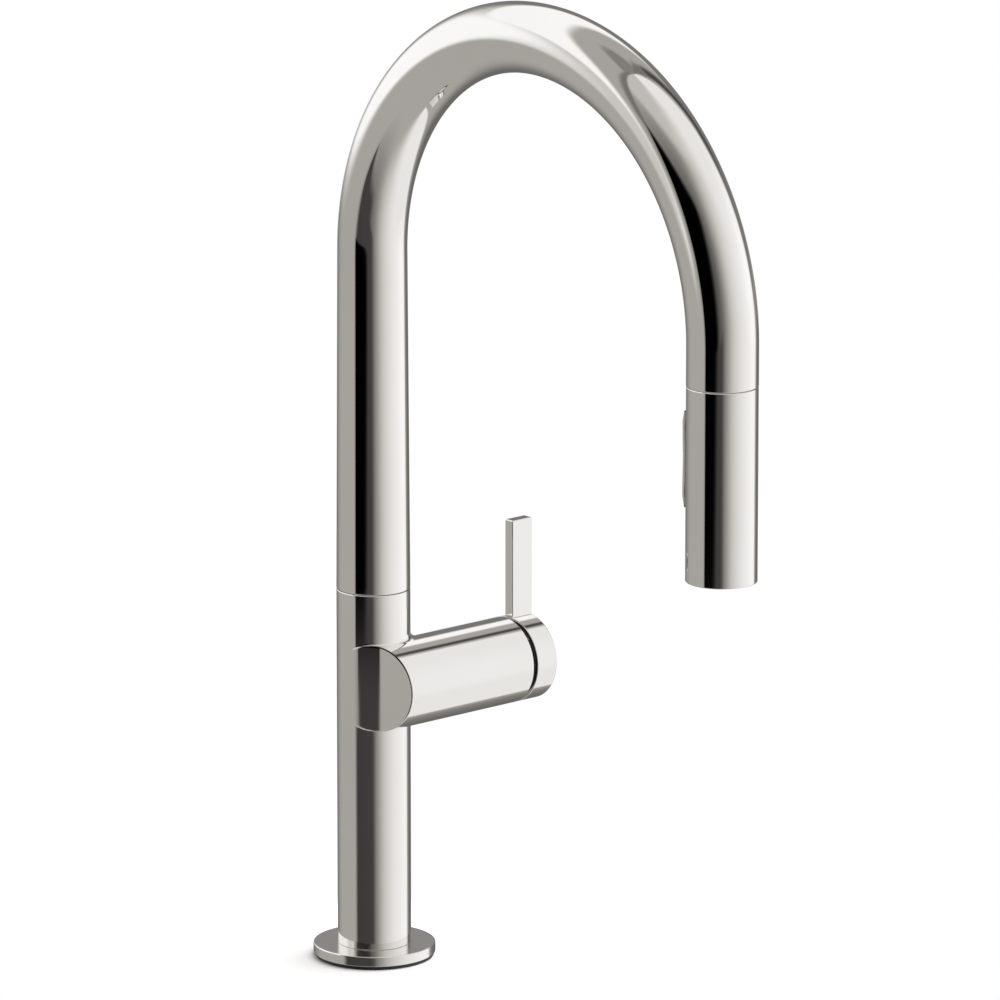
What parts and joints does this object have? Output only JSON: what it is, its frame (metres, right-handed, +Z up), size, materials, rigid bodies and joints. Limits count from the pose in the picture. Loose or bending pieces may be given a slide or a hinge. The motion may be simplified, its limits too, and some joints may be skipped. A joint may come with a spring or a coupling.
{
  "type": "pull-down kitchen faucet",
  "caption": "Gooseneck kitchen sink faucet with a swivelling spout, a pull-down spray head on a hose and a side lever valve.",
  "frame": {"origin": "centre of the deck hole, on the deck surface under the gasket", "axes": "+Z up along the column, spout reaches along -Y towards the user, valve barrel and lever along +X, the user's right"},
  "size_m": [0.1045, 0.2607, 0.5441],
  "materials": {
    "nickel": "polished nickel plate, mirror finish",
    "brass": "turned brass",
    "steel": "zinc-plated or stainless steel",
    "rubber": "matte black rubber",
    "black_plastic": "black moulded plastic",
    "white_plastic": "natural acetal",
    "blue_plastic": "blue check-valve plastic",
    "ceramic": "lapped alumina disc",
    "silicone": "soft grey silicone",
    "magnet": "bonded ferrite magnet",
    "braid": "grey braided nylon over a rubber core"
  },
  "bodies": {
    "base": {"deck_gasket": "rubber", "base_flange": "nickel", "threaded_shank": "brass", "body_column": "nickel", "valve_manifold": "brass", "cartridge_base": "white_plastic", "cartridge_seals": "rubber", "fixed_disc": "ceramic", "cartridge_body": "white_plastic", "bonnet_nut": "brass", "gap_collar": "black_plastic", "swivel_spigot": "brass", "swivel_o_rings": "rubber", "swivel_glide_rings": "white_plastic", "seam_washer": "black_plastic"},
    "clamp": {"mounting_washer": "rubber", "mounting_plate": "steel", "mounting_nut": "brass", "thrust_screws": "steel"},
    "spout": {"spout_tube": "nickel", "spout_bush": "brass", "spout_set_screw": "steel", "dock_collar": "black_plastic", "dock_magnet": "magnet", "spray_hose": "braid", "hose_connector": "brass"},
    "spray_head": {"head_shell": "nickel", "head_neck": "black_plastic", "neck_o_ring": "rubber", "magnet_keeper": "steel", "hose_tail": "braid", "hose_nut": "brass", "inlet_screen": "steel", "check_valve": "blue_plastic", "diverter_body": "black_plastic", "face_ring": "black_plastic", "spray_face": "black_plastic", "spray_nozzles": "silicone", "aerator_insert": "white_plastic", "toggle_pin": "steel"},
    "toggle": {"toggle_rocker": "nickel"},
    "spool": {"diverter_spool": "white_plastic", "spool_seals": "rubber"},
    "carrier": {"stem_carrier": "white_plastic", "stem_pin": "steel"},
    "disc": {"moving_disc": "ceramic"},
    "lever": {"cartridge_stem": "steel", "handle_cap": "nickel", "lever_blade": "nickel", "lever_set_screw": "steel", "screw_plug": "nickel"}
  },
  "joints": [
    {"name": "nut_drop", "type": "slide", "parent": "base", "child": "clamp", "axis": [0, 0, -1], "range_m": [-0.02, 0.045]},
    {"name": "spout_swivel", "type": "hinge", "parent": "base", "child": "spout", "pos_m": [0, 0, 0.165], "axis": [0, 0, 1], "continuous": true},
    {"name": "head_pull", "type": "slide", "parent": "spout", "child": "spray_head", "axis": [0, 0, -1], "range_m": [0, 0.42], "stiffness_N_per_m": 8, "springref_m": -0.35, "deforming": ["hose_tail"]},
    {"name": "toggle_rock", "type": "hinge", "parent": "spray_head", "child": "toggle", "pos_m": [0, -0.20905, 0.259], "axis": [1, 0, 0], "range_deg": [-5, 5]},
    {"name": "spool_slide", "type": "slide", "parent": "spray_head", "child": "spool", "axis": [0, 1, 0], "range_m": [-0.001, 0.001]},
    {"name": "lever_temperature", "type": "hinge", "parent": "base", "child": "carrier", "pos_m": [0.0466, -0.0136, 0.124], "axis": [1, 0, 0], "range_deg": [-45, 45]},
    {"name": "lever_flow", "type": "hinge", "parent": "carrier", "child": "lever", "pos_m": [0.0466, -0.0136, 0.124], "axis": [0, 1, 0], "range_deg": [0, 15]},
    {"name": "disc_slide", "type": "slide", "parent": "carrier", "child": "disc", "axis": [0, 0, 1], "range_m": [-0.0002, 0.004]}
  ],
  "couplings": [
    {"joint": "spool_slide", "follows": "toggle_rock", "m_per_rad": 0.01},
    {"joint": "disc_slide", "follows": "lever_flow", "m_per_rad": 0.014}
  ]
}
